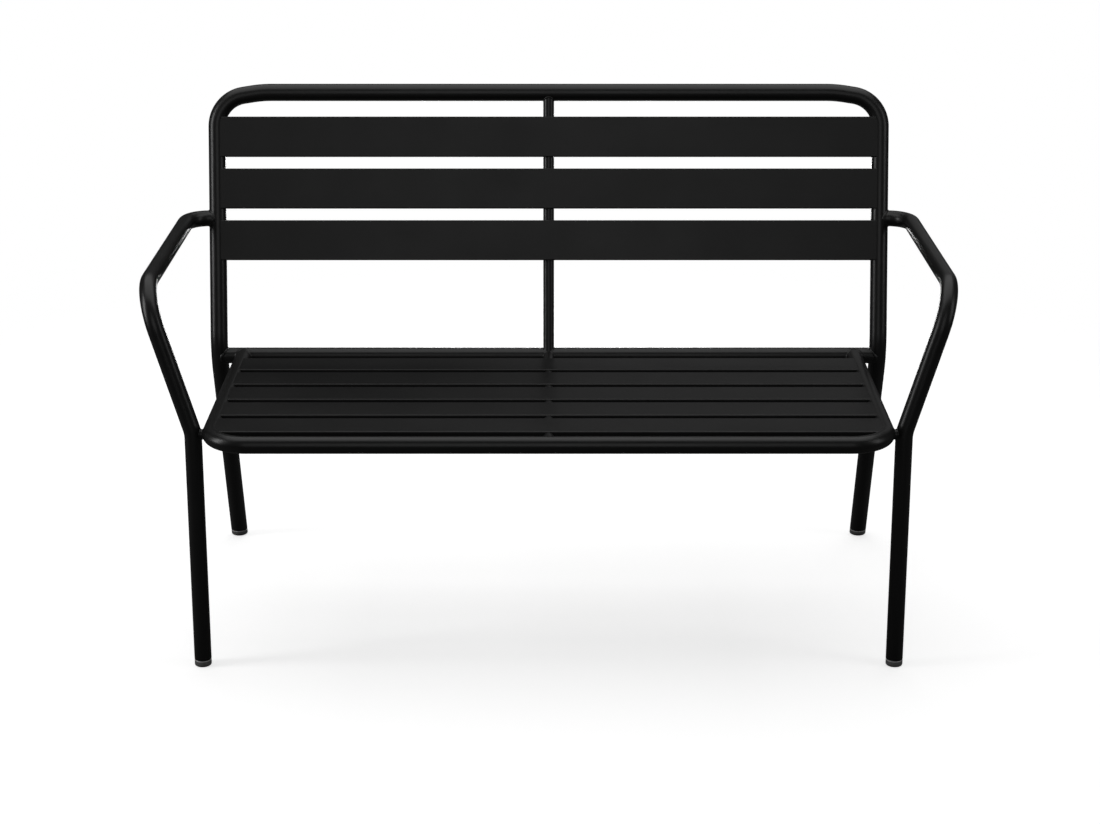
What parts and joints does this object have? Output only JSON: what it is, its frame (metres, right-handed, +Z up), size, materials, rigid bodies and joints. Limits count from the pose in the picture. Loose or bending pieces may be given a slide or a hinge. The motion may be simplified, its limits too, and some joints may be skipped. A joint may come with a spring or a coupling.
{
  "type": "garden bench",
  "caption": "Garden bench with a bent round tube frame, outward sloping tubular arms and flat pressed slats in the seat and back.",
  "frame": {"origin": "on the floor, under the middle of the bench's bounding box", "axes": "+X to the right seen from the front, +Y from the front towards the back, +Z up"},
  "size_m": [1.3036, 0.6497, 0.858],
  "materials": {
    "tube_coat": "satin powder coat on steel tube",
    "slat_coat": "fine matt powder coat on pressed steel sheet",
    "foot_plastic": "moulded polyethylene, satin"
  },
  "bodies": {
    "root": {"back_frame": "tube_coat", "left_arm": "tube_coat", "right_arm": "tube_coat", "seat_frame": "tube_coat", "seat_rear_rail": "tube_coat", "seat_middle_bar": "tube_coat", "back_post": "tube_coat", "left_spacer": "tube_coat", "right_spacer": "tube_coat", "front_left_glide": "foot_plastic", "front_right_glide": "foot_plastic", "rear_left_glide": "foot_plastic", "rear_right_glide": "foot_plastic", "seat_slat_1": "slat_coat", "seat_slat_2": "slat_coat", "seat_slat_3": "slat_coat", "seat_slat_4": "slat_coat", "seat_slat_5": "slat_coat", "back_slat_1": "slat_coat", "back_slat_2": "slat_coat", "back_slat_3": "slat_coat"}
  },
  "joints": []
}
